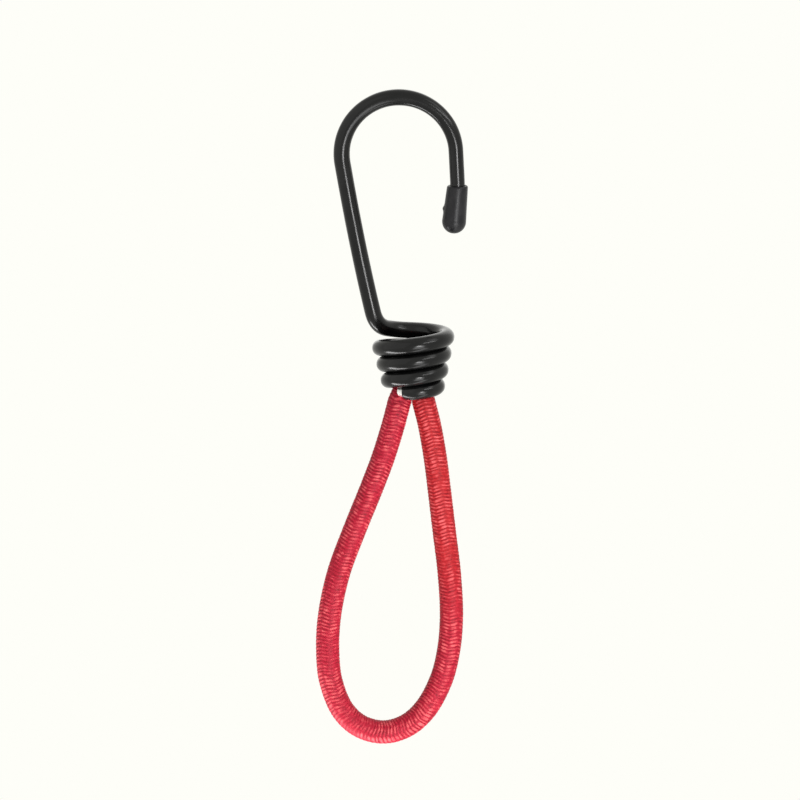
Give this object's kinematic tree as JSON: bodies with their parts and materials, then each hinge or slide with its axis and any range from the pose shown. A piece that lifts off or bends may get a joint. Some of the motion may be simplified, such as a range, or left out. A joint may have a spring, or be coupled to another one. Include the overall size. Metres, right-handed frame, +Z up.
{
  "type": "bungee loop hook",
  "caption": "Short elastic cord loop whose two ends are gripped in a conical coil, wound from the foot of a plastic-coated wire hook with a capped tip.",
  "frame": {"origin": "the hook's saddle: the highest point inside the bow, where the hook hangs", "axes": "+Z up through the bow's crown, +X towards the capped tip, +Y to the back, so that the loop hangs along -Z"},
  "size_m": [0.0347, 0.019, 0.1503],
  "materials": {
    "wire_coating": "glossy black plastic dip",
    "wire_steel": "bright cut steel",
    "tip_rubber": "satin moulded",
    "clip_steel": "zinc-plated strip",
    "sheath_braid": "tight red braid",
    "latex": "natural latex"
  },
  "bodies": {
    "hook": {"pvc_jacket": "wire_coating", "steel_wire": "wire_steel", "tip_cap": "tip_rubber"},
    "cord_grip": {"cord_clip": "clip_steel"},
    "cord_loop": {"braided_sheath": "sheath_braid", "latex_strand_1": "latex", "latex_strand_2": "latex", "latex_strand_3": "latex", "latex_strand_4": "latex", "latex_strand_5": "latex", "latex_strand_6": "latex", "latex_strand_7": "latex"}
  },
  "joints": [
    {"name": "loop_swivel", "type": "hinge", "parent": "hook", "child": "cord_grip", "pos_m": [0.00298, 0, -0.05175], "axis": [0.0419, 0, -0.9991], "continuous": true},
    {"name": "loop_stretch", "type": "slide", "parent": "cord_grip", "child": "cord_loop", "axis": [0, 0, -1], "range_m": [0, 0.06], "stiffness_N_per_m": 1500, "deforming": ["braided_sheath", "latex_strand_1", "latex_strand_2", "latex_strand_3", "latex_strand_4", "latex_strand_5", "latex_strand_6", "latex_strand_7"]}
  ]
}
